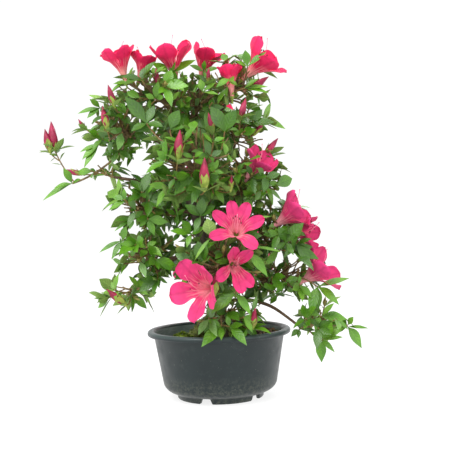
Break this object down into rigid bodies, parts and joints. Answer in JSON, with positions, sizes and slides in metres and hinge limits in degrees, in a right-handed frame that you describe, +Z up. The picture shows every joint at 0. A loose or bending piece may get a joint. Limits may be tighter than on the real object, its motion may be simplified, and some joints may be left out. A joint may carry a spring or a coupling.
{
  "type": "potted azalea",
  "caption": "Evergreen azalea trained as a small informal tree, in open flower and bud, in a round plastic training pot with a notched foot ring.",
  "frame": {"origin": "the point on the pot's axis at the level that its foot ring stands on, below the small flat disc in the middle of its underside", "axes": "+Z up along the pot's axis; -Y towards the viewer of the plant's front; +X to the viewer's right"},
  "size_m": [0.3295, 0.2484, 0.3725],
  "materials": {
    "pot": "satin dark green-grey plastic, lightly scuffed and dusty",
    "soil": "coarse brown potting grit with a little moss",
    "bark": "grey-brown bark, mossy at the root flare",
    "foliage": "semi-gloss green leaves on red-brown twigs, pink-red flowers and buds"
  },
  "bodies": {
    "root": {"pot": "pot", "soil": "soil", "trunk": "bark", "bough_upper_left": "bark", "bough_left_arm": "bark", "bough_left": "bark", "bough_lower_left": "bark", "bough_left_foot": "bark", "bough_top_right": "bark", "bough_top_middle": "bark", "bough_right_upper": "bark", "bough_right": "bark", "bough_right_side": "bark", "bough_right_low": "bark", "bough_right_foot": "bark", "bough_front_low": "bark", "bough_front": "bark", "bough_centre": "bark", "bough_back_top": "bark", "bough_back": "bark", "bough_back_low": "bark", "foliage_top_left": "foliage", "foliage_upper_left": "foliage", "foliage_top_right": "foliage", "foliage_top_middle": "foliage", "foliage_back_top": "foliage", "foliage_left_arm": "foliage", "foliage_left": "foliage", "foliage_lower_left": "foliage", "foliage_left_foot": "foliage", "foliage_centre": "foliage", "foliage_right_upper": "foliage", "foliage_right": "foliage", "foliage_right_side": "foliage", "foliage_right_low": "foliage", "foliage_right_foot": "foliage", "foliage_front_low": "foliage", "foliage_front": "foliage", "foliage_back": "foliage", "foliage_back_low": "foliage"}
  },
  "joints": []
}
